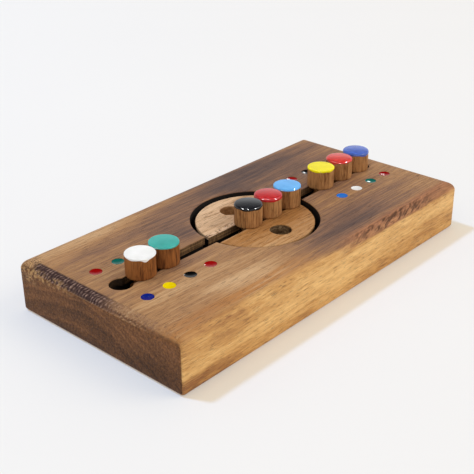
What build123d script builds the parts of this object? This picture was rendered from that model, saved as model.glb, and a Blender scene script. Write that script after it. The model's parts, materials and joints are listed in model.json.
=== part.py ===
"""Turntable peg puzzle: captive pegs slide in a T-slot track that a turntable carries across."""

import os

from build123d import *

# All sizes are in millimetres. The origin is the middle of the underside, +X runs along the track.

# Board: a solid hardwood block
board_length = 219.0
board_width = 110.0
board_thickness = 28.0
top_round = 5.0
bottom_round = 2.0
corner_round = 1.3

# Pegs, turned from dowel: a head above the track, a neck through its slot and a foot below its lips
peg_diameter = 14.8
peg_wood_height = 10.8  # of the head, without its enamel
peg_edge_round = 0.8
foot_diameter = 10.8
foot_thickness = 2.4
foot_edge_round = 0.4

# Enamel on the pegs: poured thick it stands up in a dome, poured thin it lies flat
dome_thickness = 1.2
dome_edge_round = 0.6
dome_crown = 0.45
coat_thickness = 0.7
coat_edge_round = 0.4
coat_crown = 0.12
film_thickness = 0.5
film_edge_round = 0.25
film_crown = 0.05

# Track: its lips hold each foot down, and a round entry hole at each end lets a foot in
slot_width = 8.0
lip_thickness = 4.2
neck_side_clearance = 0.4
foot_side_clearance = 0.3
foot_top_clearance = 0.3
foot_floor_clearance = 0.4
track_end_margin = 16.5  # from the board's end to the centre of the entry hole

# Turntable: a disc in a round recess, a little lower than the board
recess_diameter = 68.0
rim_gap = 2.75
turntable_drop = 1.3
floor_thickness = 9.0  # wood that is left under the recess
turntable_edge_round = 0.5
finger_hole_diameter = 11.4
finger_hole_depth = 5.0
finger_hole_offset = 17.4

# Pivot: a screw with a washer, driven up through the board's floor into the turntable
screw_diameter = 4.0
screw_head_diameter = 8.0
screw_head_height = 2.6
screw_head_round = 1.2
screw_tip_margin = 2.0  # wood between the screw's tip and the turntable's track
pivot_clearance = 0.1
washer_diameter = 13.0
washer_thickness = 1.0
washer_bore_clearance = 0.2
counterbore_side_clearance = 1.5
screw_head_recess = 0.9  # from the underside up to the screw's head

# Enamel dots: dished fillings in shallow dimples, in two rows beside the track
dot_diameter = 6.2
dimple_depth = 1.6
fill_side_clearance = 0.05
fill_edge_drop = 0.3
fill_dish = 0.5
dot_pitch = 13.6
dot_row_offset = 17.6

# Where the pegs stand: free lengths of track beside them
white_to_end = 12.4
white_to_green = 0.4
black_to_red = 0.9
red_to_light_blue = 0.9
light_blue_to_recess = 0.5
yellow_to_red = 2.2
red_to_blue = 1.2
blue_to_end = 4.3

# Sizes that follow from the ones above
neck_diameter = slot_width - 2 * neck_side_clearance
neck_length = lip_thickness + turntable_drop + foot_top_clearance
undercut_width = foot_diameter + 2 * foot_side_clearance
track_depth = neck_length + foot_thickness + foot_floor_clearance
entry_hole_offset = board_length / 2 - track_end_margin
turntable_diameter = recess_diameter - 2 * rim_gap
turntable_top = board_thickness - turntable_drop
counterbore_diameter = washer_diameter + 2 * counterbore_side_clearance
counterbore_depth = screw_head_recess + screw_head_height + washer_thickness
washer_bottom = screw_head_recess + screw_head_height
screw_tip = turntable_top - track_depth - screw_tip_margin
dome = (dome_thickness, dome_edge_round, dome_crown)
coat = (coat_thickness, coat_edge_round, coat_crown)
film = (film_thickness, film_edge_round, film_crown)

white_x = white_to_end - entry_hole_offset
green_x = white_x + peg_diameter + white_to_green
light_blue_x = (recess_diameter - peg_diameter) / 2 - light_blue_to_recess
red_inner_x = light_blue_x - peg_diameter - red_to_light_blue
black_x = red_inner_x - peg_diameter - black_to_red
blue_x = entry_hole_offset - blue_to_end
red_outer_x = blue_x - peg_diameter - red_to_blue
yellow_x = red_outer_x - peg_diameter - yellow_to_red

# Each peg's colour, its place along the track, the height of the face that its head rests on, its enamel
pegs = {
    "white": (white_x, board_thickness, film),
    "green": (green_x, board_thickness, coat),
    "black": (black_x, turntable_top, dome),
    "red_inner": (red_inner_x, turntable_top, dome),
    "light_blue": (light_blue_x, turntable_top, coat),
    "yellow": (yellow_x, board_thickness, film),
    "red_outer": (red_outer_x, board_thickness, dome),
    "blue": (blue_x, board_thickness, dome),
}

# The near row's colours from left to right. The far row is the same after half a turn of the board.
near_colours = ("blue", "yellow", "black", "red", "light_blue", "white", "green", "red")
far_colours = near_colours[::-1]
right_columns = [entry_hole_offset - step * dot_pitch for step in (3, 2, 1, 0)]
dot_columns = [-x for x in reversed(right_columns)] + right_columns
dot_rows = {
    "near": (-dot_row_offset, near_colours),
    "far": (dot_row_offset, far_colours),
}


def save(piece, name):
    """Labels a finished piece and writes it to its own file."""
    piece.part.label = name
    export_step(piece.part, f"parts/{name}.step")


def upright(x, y, z):
    """A plane for a turned piece's half profile, whose own Y axis is the piece's axis."""
    return Plane(origin=(x, y, z), x_dir=(1, 0, 0), z_dir=(0, -1, 0))


def make_board():
    """The block, with its rounded edges, track, recess, dimples and pivot hole."""
    with BuildPart() as board:
        with BuildSketch():
            Rectangle(board_length, board_width)
        extrude(amount=board_thickness)
        fillet(board.faces().sort_by(Axis.Z)[-1].edges(), top_round)
        fillet(board.faces().sort_by(Axis.Z)[0].edges(), bottom_round)
        with BuildSketch():
            RectangleRounded(board_length, board_width, corner_round)
        extrude(amount=board_thickness, mode=Mode.INTERSECT)
        with BuildSketch(Plane.XY.offset(board_thickness)):
            Circle(recess_diameter / 2)
        extrude(amount=floor_thickness - board_thickness, mode=Mode.SUBTRACT)
        with BuildSketch(Plane.XY.offset(board_thickness)):
            Rectangle(2 * entry_hole_offset, slot_width)
            with Locations((-entry_hole_offset, 0), (entry_hole_offset, 0)):
                Circle(undercut_width / 2)
        extrude(amount=-lip_thickness, mode=Mode.SUBTRACT)
        with BuildSketch(Plane.XY.offset(board_thickness - track_depth)):
            SlotCenterToCenter(2 * entry_hole_offset, undercut_width)
        extrude(amount=track_depth - lip_thickness, mode=Mode.SUBTRACT)
        with Locations(*((x, y, board_thickness) for y, _ in dot_rows.values() for x in dot_columns)):
            Hole(dot_diameter / 2, dimple_depth)
        with Locations(board.faces().sort_by(Axis.Z)[0]):
            CounterBoreHole(
                screw_diameter / 2 + pivot_clearance,
                counterbore_diameter / 2,
                counterbore_depth,
                floor_thickness,
            )
    save(board, "board")


def make_turntable():
    """The disc, with the track across it, two finger holes and the screw's hole in its underside."""
    with BuildPart() as turntable:
        with BuildSketch(Plane.XY.offset(floor_thickness)):
            Circle(turntable_diameter / 2)
        extrude(amount=turntable_top - floor_thickness)
        fillet(turntable.edges().group_by(Axis.Z)[-1], turntable_edge_round)
        with BuildSketch(Plane.XY.offset(turntable_top)):
            Rectangle(turntable_diameter, slot_width)
        extrude(amount=-lip_thickness, mode=Mode.SUBTRACT)
        with BuildSketch(Plane.XY.offset(turntable_top - track_depth)):
            Rectangle(turntable_diameter, undercut_width)
        extrude(amount=track_depth - lip_thickness, mode=Mode.SUBTRACT)
        with Locations((0, -finger_hole_offset, turntable_top), (0, finger_hole_offset, turntable_top)):
            Hole(finger_hole_diameter / 2, finger_hole_depth)
        with BuildSketch(Plane.XY.offset(floor_thickness)):
            Circle(screw_diameter / 2)
        extrude(amount=screw_tip - floor_thickness, mode=Mode.SUBTRACT)
    save(turntable, "turntable")


def make_pivot():
    """The pan-head screw that the turntable turns on, and the washer under its head."""
    with BuildPart() as screw:
        with BuildSketch(Plane.XY.offset(screw_head_recess)):
            Circle(screw_head_diameter / 2)
        extrude(amount=screw_head_height)
        fillet(screw.edges().group_by(Axis.Z)[0], screw_head_round)
        with BuildSketch(Plane.XY.offset(washer_bottom)):
            Circle(screw_diameter / 2)
        extrude(amount=screw_tip - washer_bottom)
    save(screw, "pivot_screw")

    with BuildPart() as washer:
        with BuildSketch(Plane.XY.offset(washer_bottom)):
            Circle(washer_diameter / 2)
            Circle(screw_diameter / 2 + washer_bore_clearance, mode=Mode.SUBTRACT)
        extrude(amount=washer_thickness)
    save(washer, "pivot_washer")


def make_peg(name, x, seat):
    """One turned peg, standing with its head on the seat's height and its foot below the lips."""
    with BuildPart() as peg:
        with BuildSketch(upright(x, 0, seat)) as profile:
            with BuildLine():
                Polyline(
                    (0, peg_wood_height),
                    (peg_diameter / 2, peg_wood_height),
                    (peg_diameter / 2, 0),
                    (neck_diameter / 2, 0),
                    (neck_diameter / 2, -neck_length),
                    (foot_diameter / 2, -neck_length),
                    (foot_diameter / 2, -neck_length - foot_thickness),
                    (0, -neck_length - foot_thickness),
                    close=True,
                )
            make_face()
            outer = profile.vertices().sort_by(Axis.X)
            fillet(outer[-2:].sort_by(Axis.Y)[0], peg_edge_round)
            foot_corners = profile.vertices().filter_by_position(
                Axis.X, foot_diameter / 2, foot_diameter / 2
            )
            fillet(foot_corners, foot_edge_round)
        revolve(axis=Axis((x, 0, seat), (0, 0, 1)))
    save(peg, f"{name}_peg")


def make_cap(name, x, seat, thickness, edge_round, crown):
    """The enamel on one peg: a short skirt, a rounded edge and a crowned top."""
    radius = peg_diameter / 2
    base = seat + peg_wood_height
    with BuildPart() as cap:
        with BuildSketch(upright(x, 0, base)) as profile:
            with BuildLine():
                bottom = Line((0, 0), (radius, 0))
                skirt = Line(bottom @ 1, (radius, thickness - crown))
                top = TangentArc((0, thickness), skirt @ 1, tangent=(1, 0))
                Line(top @ 0, bottom @ 0)
            make_face()
            fillet(profile.vertices().group_by(Axis.X)[-1].sort_by(Axis.Y)[-1], edge_round)
        revolve(axis=Axis((x, 0, base), (0, 0, 1)))
    save(cap, f"{name}_cap")


def make_dot(name, x, y):
    """The enamel in one dimple, dished because it shrank as it dried."""
    radius = dot_diameter / 2 - fill_side_clearance
    with BuildPart() as dot:
        with BuildSketch(upright(x, y, board_thickness)):
            with BuildLine():
                bottom = Line((0, -dimple_depth), (radius, -dimple_depth))
                side = Line(bottom @ 1, (radius, -fill_edge_drop))
                dish = TangentArc((0, -fill_edge_drop - fill_dish), side @ 1, tangent=(1, 0))
                Line(dish @ 0, bottom @ 0)
            make_face()
        revolve(axis=Axis((x, y, board_thickness), (0, 0, 1)))
    save(dot, name)


os.makedirs("parts", exist_ok=True)
make_board()
make_turntable()
make_pivot()
for colour, (peg_x, peg_seat, enamel) in pegs.items():
    make_peg(colour, peg_x, peg_seat)
    make_cap(colour, peg_x, peg_seat, *enamel)
for row, (row_y, colours) in dot_rows.items():
    for place, (dot_x, colour) in enumerate(zip(dot_columns, colours), 1):
        make_dot(f"{colour}_dot_{row}_{place}", dot_x, row_y)
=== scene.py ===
"""Looks of the turntable peg puzzle: oiled wood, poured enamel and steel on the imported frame."""

import json
import math
from types import SimpleNamespace

import bmesh
import bpy
from bpy.props import FloatProperty, FloatVectorProperty, PointerProperty
from mathutils import Matrix, Vector, noise

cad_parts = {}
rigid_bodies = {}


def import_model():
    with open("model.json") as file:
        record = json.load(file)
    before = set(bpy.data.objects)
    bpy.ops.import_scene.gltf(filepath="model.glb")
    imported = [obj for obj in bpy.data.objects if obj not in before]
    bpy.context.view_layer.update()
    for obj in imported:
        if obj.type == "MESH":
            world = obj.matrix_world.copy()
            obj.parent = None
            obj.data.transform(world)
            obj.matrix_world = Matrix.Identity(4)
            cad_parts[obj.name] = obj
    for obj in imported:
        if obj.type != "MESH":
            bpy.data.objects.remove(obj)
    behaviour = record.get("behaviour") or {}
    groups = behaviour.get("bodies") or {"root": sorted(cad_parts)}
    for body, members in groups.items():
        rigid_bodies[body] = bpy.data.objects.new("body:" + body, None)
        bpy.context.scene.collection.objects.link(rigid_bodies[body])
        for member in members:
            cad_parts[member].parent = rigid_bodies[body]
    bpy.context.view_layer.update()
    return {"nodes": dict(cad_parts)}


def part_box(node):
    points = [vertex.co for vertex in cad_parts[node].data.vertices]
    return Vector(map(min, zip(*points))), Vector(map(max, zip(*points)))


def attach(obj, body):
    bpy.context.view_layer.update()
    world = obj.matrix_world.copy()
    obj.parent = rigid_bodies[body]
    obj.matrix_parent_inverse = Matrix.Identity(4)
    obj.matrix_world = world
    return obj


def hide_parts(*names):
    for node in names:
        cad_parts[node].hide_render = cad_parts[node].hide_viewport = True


bl_info = {
    "name": "Turntable peg puzzle",
    "version": (1, 0, 0),
    "blender": (4, 5, 0),
    "location": "View3D > Sidebar > Puzzle",
    "description": "Dresses the puzzle's solids in worn wood, poured enamel and steel",
    "category": "Object",
}

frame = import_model()
BOARD_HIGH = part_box("board")[1]
DISC_LOW, DISC_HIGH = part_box("turntable")
MM = 0.001

ENAMELS = ("white", "green", "black", "red", "light_blue", "yellow", "blue")

# Points along the block's sides and up its walls, fine where the edge is torn, in mm
PITCHES = {"front": 0.7, "right": 1.2, "back": 2.0, "left": 0.38, "wall": 3.0}
# Steps round each rounded edge, hole and turned piece, and along and round the track's outline
ROUND_STEPS = {
    "lower_edge": 4, "upper_edge": 21, "disc_edge": 4, "recess": 256, "dimple": 40, "finger": 96,
    "bore": 64, "pilot": 32, "disc": 200, "peg": 72, "cap": 120, "cap_edge": 10, "screw": 48,
}
SLOT_STEPS = (400, 40)
CHANNEL_STEPS = (8, 24)
DISC_SLOT_STEPS = 320
# Points beside an upright corner, and rings on a flat face, as shares of its size
CORNER_SHARES = (0.12, 0.3, 0.6, 1.0)
INNER_SHARES = (0.93, 0.84, 0.74, 0.64, 0.54, 0.44, 0.34, 0.24, 0.14, 0.05)
# Edges with a greater bend than this, in degrees, stay sharp
SHARP = {"wood": 38.0, "turned": 38.0, "cap": 60.0, "dot": 50.0, "screw": 35.0}

# A cut's worn rim, from the wall up: share of the wear outwards, and drop below the face in wears
WORN_RIM = ((0.12, 0.75), (0.40, 0.30), (1.0, -0.06))
RIM_START = 1.3
DIMPLE_WEAR = 0.16 * MM
# How far a cutter reaches past a face, and into the next cut
OVERRUN = 1.0 * MM
OVERLAP = 0.4 * MM

# The counterbore for the screw's head and the hole for its shank: radius and height in mm
BORE = ((8.35, -1.0), (8.35, 0.0), (8.0, 0.35), (8.0, 4.5), (2.1, 4.5), (2.1, 9.5))
PILOT_RADIUS = 2.0 * MM
PILOT_TOP = 16.1 * MM

# The turntable's rounded rim and the dents in it
DISC_EDGE = 0.5 * MM
DISC_DENT = 0.10 * MM

# Pegs: foot, neck and seat, and the rows of points up the dowel in mm above the seat
PEG_FOOT = 5.4 * MM
PEG_FOOT_HEIGHT = 2.4 * MM
PEG_FOOT_EDGE = 0.4 * MM
PEG_NECK = 3.6 * MM
PEG_SEAT = 8.2 * MM
PEG_BASE_ROUND = 0.7 * MM
PEG_ROWS = (2.0, 3.5, 5.0, 6.5, 8.0, 9.2, 9.7)
PEG_WAVER = 0.16 * MM

# Caps: how far they stand out from the dowel, and the rings of the crown as shares of its radius
CAP_PROUD = 0.04 * MM
CROWN_SHARES = (0.92, 0.8, 0.68, 0.55, 0.42, 0.28, 0.14, 0.0004)

# Dots: gap to the dimple, drop of the rim below the face, depth of the dish and tilt in radians
DOT_GAP = 0.02 * MM
DOT_RIM_DROP = 0.16 * MM
DOT_DISH = 0.45 * MM
DOT_TILT = 0.035

# The pivot screw: height and round of its head, radii of its core and thread, and pitch
SCREW_HEAD = 2.6 * MM
SCREW_ROUND = 1.2 * MM
SCREW_CORE = 1.55 * MM
SCREW_THREAD = 2.0 * MM
SCREW_PITCH = 1.4 * MM
# The arms of its cross recess: turn in radians, then height, half length and half width in mm
CROSS_TURN = 0.4
CROSS_ARM = ((-0.2, 2.3, 0.42), (1.7, 0.9, 0.28))

# Each peg's cap: its enamel, how far it runs down the peg, unevenness, edge round and crown, in mm
CAPS = {
    "white": ("white", 0.10, 0.14, 0.25, 0.05),
    "green": ("green", 0.30, 0.15, 0.50, 0.12),
    "black": ("black", 0.50, 0.26, 0.95, 0.45),
    "red_inner": ("red", 0.95, 0.26, 0.95, 0.45),
    "light_blue": ("light_blue", 0.30, 0.18, 0.50, 0.12),
    "yellow": ("yellow", 0.30, 0.26, 0.30, 0.05),
    "red_outer": ("red", 0.30, 0.30, 0.95, 0.45),
    "blue": ("blue", 0.70, 0.28, 0.95, 0.45),
}

# Runs of enamel below a cap: direction in degrees, length in mm and width in degrees
RUNS = {
    "white": ((-112.0, 1.05, 13.0), (-165.0, 0.35, 18.0)),
    "black": ((-150.0, 0.35, 16.0), (-95.0, 0.30, 14.0)),
    "red_inner": ((-120.0, 0.40, 20.0),),
    "yellow": ((-160.0, 0.30, 26.0), (-100.0, 0.35, 14.0)),
    "red_outer": ((-165.0, 0.80, 12.0), (-118.0, 0.40, 16.0)),
    "blue": ((-100.0, 0.50, 20.0),),
}

# Streaks of the block's top, one of them partly painted shade: centre, half length and half width in mm,
# and how much darker they are
FIGURE = (
    ((45.0, 40.0), (50.0, 16.0), 0.36),
    ((22.0, 33.0), (10.0, 5.0), 0.12),
    ((96.0, 41.0), (13.0, 9.0), 0.12),
    ((-15.0, 37.0), (28.0, 12.0), 0.12),
    ((-30.0, 47.0), (12.0, 7.0), 0.10),
    ((-38.0, 14.0), (16.0, 9.0), 0.44),
    ((-43.0, 27.0), (13.0, 8.0), 0.18),
    # along the slot's near edge at the feet of the white and green pegs: partly the wood's tone, partly
    # painted shade of the pegs
    ((-55.0, -8.0), (22.0, 4.0), 0.26),
    ((22.0, -43.0), (34.0, 7.0), 0.32),
    ((38.0, -30.0), (16.0, 6.0), 0.16),
    ((-48.0, -37.0), (26.0, 7.0), -0.34),
    ((-85.0, -23.0), (25.0, 6.0), -0.20),
    ((-70.0, 48.0), (48.0, 6.5), -0.26),
    ((-82.0, 33.0), (30.0, 8.0), 0.16),
    ((-81.0, -45.0), (20.0, 8.0), 0.16),
)

# Tones of freshly cut wood, from the lightest fibres to the darkest
ROUTED = ((0.2, (0.33, 0.180, 0.072)), (0.5, (0.14, 0.072, 0.029)), (0.9, (0.018, 0.010, 0.006)))
# The near finger hole's tones are darker than the far one's: painted shade
BORED_NEAR_SHADED = ((0.2, (0.42, 0.27, 0.14)), (0.5, (0.15, 0.085, 0.038)), (0.8, (0.030, 0.016, 0.008)))
BORED_FAR = ((0.2, (0.58, 0.35, 0.165)), (0.5, (0.38, 0.20, 0.080)), (0.85, (0.17, 0.083, 0.032)))

# Lamps: place and size in metres, power in watts and tone
WHITE = (1.0, 1.0, 1.0)
LAMPS = {
    "overhead": ((-0.10, 0.30, 3.00), 0.60, 6.5, WHITE),
    "window": ((-0.76, 1.36, 2.91), 0.30, 7.4, WHITE),
    "daylight": ((-0.76, 1.36, 2.91), 0.30, 114.0, (0.151, 0.370, 1.0)),
    "front_fill": ((2.35, -2.85, 2.75), 2.60, 62.0, (1.0, 0.98, 0.95)),
    "spark_left": ((-1.26, 0.16, 0.99), 0.28, 42.0, WHITE),
    "spark_middle": ((-0.95, -0.86, 1.02), 0.30, 40.0, WHITE),
    "spark_right": ((0.37, -1.25, 0.99), 0.28, 46.0, WHITE),
    "glint_back": ((2.02, 1.08, 1.05), 0.30, 6.0, WHITE),
}
# Sparks fall on the caps alone, glints on the dots and cool daylight on the floor
RECEIVERS = {"spark": "cap_of_", "glint": "dots_", "daylight": "floor"}
FLOOR_RADIUS = 6.0
FLOOR_STEPS = 96
BACKDROP = 0.95


def length(name, description, default):
    """A property that holds a length in metres."""
    return FloatProperty(name=name, description=description, default=default, unit="LENGTH", precision=5)


def colour(name, description, default):
    """A property that holds a colour."""
    return FloatVectorProperty(
        name=name, description=description, default=default, subtype="COLOR", min=0.0, max=1.0
    )


class PuzzleSizes(bpy.types.PropertyGroup):
    """Sizes of the block, the disc, the pegs and the enamel."""

    top_round: length("Top round", "Radius along the block's upper edges", 5.0 * MM)
    bottom_round: length("Bottom round", "Radius along the block's lower edges", 2.0 * MM)
    corner_round: length("Corner round", "Radius of the block's upright corners", 1.3 * MM)
    slot_width: length("Slot width", "Width of the track's slot", 8.0 * MM)
    lip: length("Lip", "Thickness of the wood beside the slot", 4.2 * MM)
    undercut: length("Undercut", "Width of the track below its lips", 11.4 * MM)
    track_depth: length("Track depth", "From the face down to the track's floor", 8.6 * MM)
    entry_offset: length("Entry hole", "From the middle to the entry hole's centre", 93.0 * MM)
    recess_radius: length("Recess radius", "Radius of the turntable's recess", 34.0 * MM)
    finger_radius: length("Finger hole radius", "Radius of the turntable's finger holes", 5.7 * MM)
    finger_depth: length("Finger hole depth", "Depth of the turntable's finger holes", 5.0 * MM)
    finger_offset: length("Finger hole offset", "From the middle to a finger hole", 17.4 * MM)
    dot_radius: length("Dot radius", "Radius of a dimple for enamel", 3.1 * MM)
    dimple_depth: length("Dimple depth", "Depth of a dimple for enamel", 1.6 * MM)
    edge_wear: length("Edge wear", "How far sharp wooden edges have been eased", 0.35 * MM)
    chatter: length("Chatter depth", "Depth of the tool marks on the left end's rounded edge", 0.42 * MM)


class PuzzleColours(bpy.types.PropertyGroup):
    """Colours of the woods, the enamels and the floor."""

    wood_pale: colour("Pale wood", "Light streaks of the block", (0.67, 0.425, 0.225))
    wood_tan: colour("Tan wood", "Middle tone of the block", (0.44, 0.232, 0.102))
    wood_brown: colour("Brown wood", "Reddish streaks of the block", (0.262, 0.138, 0.082))
    wood_dark: colour("Dark wood", "Heartwood of the block", (0.115, 0.073, 0.064))
    wood_orange: colour("Orange wood", "Warm patch beside the long front", (0.50, 0.215, 0.062))
    sap_pale: colour("Pale sapwood", "Brightest streaks of the long front", (0.86, 0.53, 0.205))
    sap_gold: colour("Golden sapwood", "Middle tone of the long front", (0.61, 0.32, 0.105))
    sap_brown: colour("Brown sapwood", "Dark streaks of the long front", (0.30, 0.125, 0.045))
    end_grain: colour("End grain", "Sawn ends of the block", (0.141, 0.058, 0.020))
    torn_pale: colour("Torn fibres", "Ridges of the torn edge", (0.36, 0.228, 0.180))
    torn_dark: colour("Torn pits", "Pits of the torn edge", (0.046, 0.021, 0.020))
    torn_red: colour("Reddish tear", "Middle tone of the tear along the long front", (0.37, 0.158, 0.074))
    disc_pale: colour("Pale disc", "Light streaks of the turntable", (0.79, 0.53, 0.325))
    disc_warm: colour("Warm disc", "Darker streaks of the turntable", (0.40, 0.195, 0.075))
    disc_gold: colour("Golden disc", "Middle tone of the turntable's near half", (0.42, 0.180, 0.048))
    disc_honey: colour("Honey disc", "Light streaks of the turntable's near half", (0.60, 0.335, 0.140))
    splinters: colour("Splinters", "Fresh wood where the disc's slot has torn out", (0.80, 0.54, 0.35))
    dowel_pale: colour("Pale dowel", "Light streaks of six pegs", (0.52, 0.255, 0.095))
    dowel_warm: colour("Warm dowel", "Dark streaks of six pegs", (0.135, 0.040, 0.007))
    dowel_red: colour("Reddish dowel", "Light streaks of the white and green pegs", (0.36, 0.130, 0.034))
    dowel_deep: colour("Deep dowel", "Dark streaks of the white and green pegs", (0.070, 0.020, 0.006))
    # near-black wood: burnt on the recess wall, painted shade under the track's lips and on the disc's
    # lower side
    scorched: colour("Scorched wood", "Burnt wall of the recess", (0.008, 0.006, 0.005))
    white: colour("White enamel", "White cap and dots", (0.94, 0.94, 0.93))
    green: colour("Green enamel", "Green cap and dots", (0.040, 0.42, 0.37))
    black: colour("Black enamel", "Black cap and dots", (0.007, 0.008, 0.011))
    red: colour("Red enamel", "Red caps and dots", (0.55, 0.016, 0.020))
    # a lighter copy of the red enamel for the outer cap: painted light
    bright_red: colour("Bright red enamel", "Red cap of the outer peg", (0.70, 0.036, 0.024))
    light_blue: colour("Light blue enamel", "Light blue cap and dots", (0.13, 0.46, 0.92))
    yellow: colour("Yellow enamel", "Yellow cap and dots", (0.94, 0.81, 0.004))
    blue: colour("Blue enamel", "Blue cap and dots", (0.062, 0.135, 0.54))
    steel: colour("Steel", "Pivot screw and washer", (0.56, 0.55, 0.53))
    floor: colour("Floor", "Warm paper under the puzzle", (0.815, 0.682, 0.47))
    haze: colour("Haze", "Pale veil over the floor and its shadows", (0.916, 0.916, 0.921))


class PuzzleStage(bpy.types.PropertyGroup):
    """Camera and light."""

    azimuth: FloatProperty(
        name="Azimuth", description="Camera's turn from the long front", default=math.radians(-47.74),
        subtype="ANGLE",
    )
    elevation: FloatProperty(
        name="Elevation", description="Camera's height over the floor", default=math.radians(26.73),
        subtype="ANGLE",
    )
    roll: FloatProperty(
        name="Roll", description="Camera's turn about its own axis", default=math.radians(-0.54),
        subtype="ANGLE",
    )
    distance: length("Distance", "From the camera to the plane of the aim point", 503.69 * MM)
    aim_right: length("Aim right", "Shift of the aim point to the picture's right", -9.49 * MM)
    aim_up: length("Aim up", "Shift of the aim point to the picture's top", 14.87 * MM)
    lens: FloatProperty(name="Lens", description="Focal length in mm", default=71.553, min=1.0)
    pale_floor: FloatProperty(
        name="Pale floor", description="Share of the haze in what is seen of the floor", default=0.32,
        min=0.0, max=1.0,
    )
    room_light: FloatProperty(
        name="Room light", description="Level of the even light from the room", default=0.725, min=0.0
    )


class Nodes:
    """Short ways to write a node tree."""

    def __init__(self, tree):
        self.tree = tree

    def add(self, kind, feeds=(), **settings):
        """A node with its settings, and its sockets fed by name or number."""
        node = self.tree.nodes.new(kind)
        for key, value in settings.items():
            setattr(node, key, value)
        for key, value in dict(feeds).items():
            self.feed(node.inputs[key], value)
        return node

    def feed(self, socket, value):
        """Links a socket to another one, or sets its value."""
        if isinstance(value, bpy.types.NodeSocket):
            self.tree.links.new(value, socket)
        else:
            socket.default_value = value

    def math(self, operation, *values):
        return self.add("ShaderNodeMath", enumerate(values), operation=operation).outputs[0]

    def vector(self, operation, *values):
        return self.add("ShaderNodeVectorMath", enumerate(values), operation=operation).outputs[0]

    def chain(self, operation, first, *more):
        for value in more:
            first = self.math(operation, first, value)
        return first

    def product(self, *values):
        return self.chain("MULTIPLY", *values)

    def total(self, *values):
        return self.chain("ADD", *values)

    def squares(self, a, b):
        """The sum of two squares."""
        return self.math("MULTIPLY_ADD", a, a, self.math("MULTIPLY", b, b))

    def distance(self, a, b):
        """How far a value lies from another, either way."""
        return self.math("ABSOLUTE", self.math("SUBTRACT", a, b))

    def split(self, vector):
        return tuple(self.add("ShaderNodeSeparateXYZ", {0: vector}).outputs)

    def combine(self, *parts):
        return self.add("ShaderNodeCombineXYZ", enumerate(parts)).outputs[0]

    def ease(self, value, low, high, start=0.0, end=1.0):
        """From start at low to end at high, with a smooth step."""
        feeds = enumerate((value, low, high, start, end))
        return self.add("ShaderNodeMapRange", feeds, interpolation_type="SMOOTHSTEP").outputs[0]


class Finish(Nodes):
    """A material's node tree, with its shader ready to be fed."""

    def __init__(self, name):
        self.material = bpy.data.materials.new(name)
        self.material.use_nodes = True
        super().__init__(self.material.node_tree)
        self.tree.nodes.clear()
        self.surface = self.add("ShaderNodeBsdfPrincipled")
        self.output = self.add("ShaderNodeOutputMaterial", {0: self.surface.outputs[0]})
        self.coordinates = self.add("ShaderNodeTexCoord").outputs

    def set(self, **sockets):
        """Feeds the shader's sockets."""
        for key, value in sockets.items():
            self.feed(self.surface.inputs[key.replace("_", " ")], value)

    def millimetres(self):
        """The place on the piece in mm."""
        return self.vector("MULTIPLY", self.coordinates["Object"], (1000.0, 1000.0, 1000.0))

    def noise(self, vector, stretch, detail=2.0, roughness=0.5, warp=0.0, output="Fac"):
        feeds = {
            "Vector": self.vector("MULTIPLY", vector, stretch),
            "Scale": 1.0,
            "Detail": detail,
            "Roughness": roughness,
            "Distortion": warp,
        }
        return self.add("ShaderNodeTexNoise", feeds).outputs[output]

    def lines(self, value, detail=2.0, roughness=0.5):
        """Uneven lines across a value."""
        feeds = {"W": value, "Scale": 1.0, "Detail": detail, "Roughness": roughness}
        return self.add("ShaderNodeTexNoise", feeds, noise_dimensions="1D").outputs["Fac"]

    def mix(self, factor, a, b):
        feeds = {0: factor, 6: opaque(a), 7: opaque(b)}
        return self.add("ShaderNodeMix", feeds, data_type="RGBA").outputs[2]

    def ramp(self, value, stops):
        node = self.add("ShaderNodeValToRGB", {0: value})
        points = node.color_ramp.elements
        while len(points) < len(stops):
            points.new(0.5)
        for point, (place, tone) in zip(points, stops):
            point.position = place
            point.color = opaque(tone)
        return node.outputs[0]

    def bump(self, height, distance, strength=1.0):
        feeds = {"Strength": strength, "Distance": distance, "Height": height}
        self.set(Normal=self.add("ShaderNodeBump", feeds).outputs[0])


class Shape(Nodes):
    """A geometry node tree with named inputs, which ends in real meshes of one finish."""

    def __init__(self, name, **inputs):
        super().__init__(bpy.data.node_groups.new(name, "GeometryNodeTree"))
        for key, kind in inputs.items():
            self.socket(key.replace("_", " "), "INPUT", kind)
        self.socket("Finish", "INPUT", "Material")
        self.socket("Geometry", "OUTPUT", "Geometry")
        self.given = self.add("NodeGroupInput").outputs

    def socket(self, name, side, kind):
        self.tree.interface.new_socket(name, in_out=side, socket_type=f"NodeSocket{kind}")

    def finish(self, mesh):
        """Ends the tree."""
        real = self.add("GeometryNodeRealizeInstances", {0: mesh}).outputs[0]
        feeds = {"Geometry": real, "Material": self.given["Finish"]}
        self.add("NodeGroupOutput", {0: self.add("GeometryNodeSetMaterial", feeds).outputs[0]})
        return self.tree


def opaque(tone):
    """A colour with its alpha, or a socket as it is."""
    return tone if isinstance(tone, bpy.types.NodeSocket) else (*tone[:3], 1.0)


def scaled(tone, k):
    """A lighter or darker copy of a colour."""
    return tuple(min(1.0, k * v) for v in tone)


def blended(a, b, share):
    """A colour between two others, with the given share of the first."""
    return tuple(share * v + (1.0 - share) * w for v, w in zip(a, b))


def growth(n, place, pith, ring):
    """Growth marks of wood that grew along X: the place on its bent fibres, bands and streaks."""
    drift = n.noise(place, (0.006, 0.028, 0.028), output="Color")
    drift = n.vector("SUBTRACT", drift, (0.5, 0.5, 0.5))
    bent = n.vector("MULTIPLY_ADD", drift, (0.0, 16.0, 14.0), place)
    _, y, z = n.split(bent)
    square = n.squares(n.math("SUBTRACT", y, pith[0]), n.math("SUBTRACT", z, pith[1]))
    bands = n.lines(n.math("DIVIDE", n.math("SQRT", square), ring), 3.0, 0.6)
    streaks = n.noise(bent, (0.010, 0.34, 0.34), 4.0, 0.6)
    return bent, bands, streaks


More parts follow.
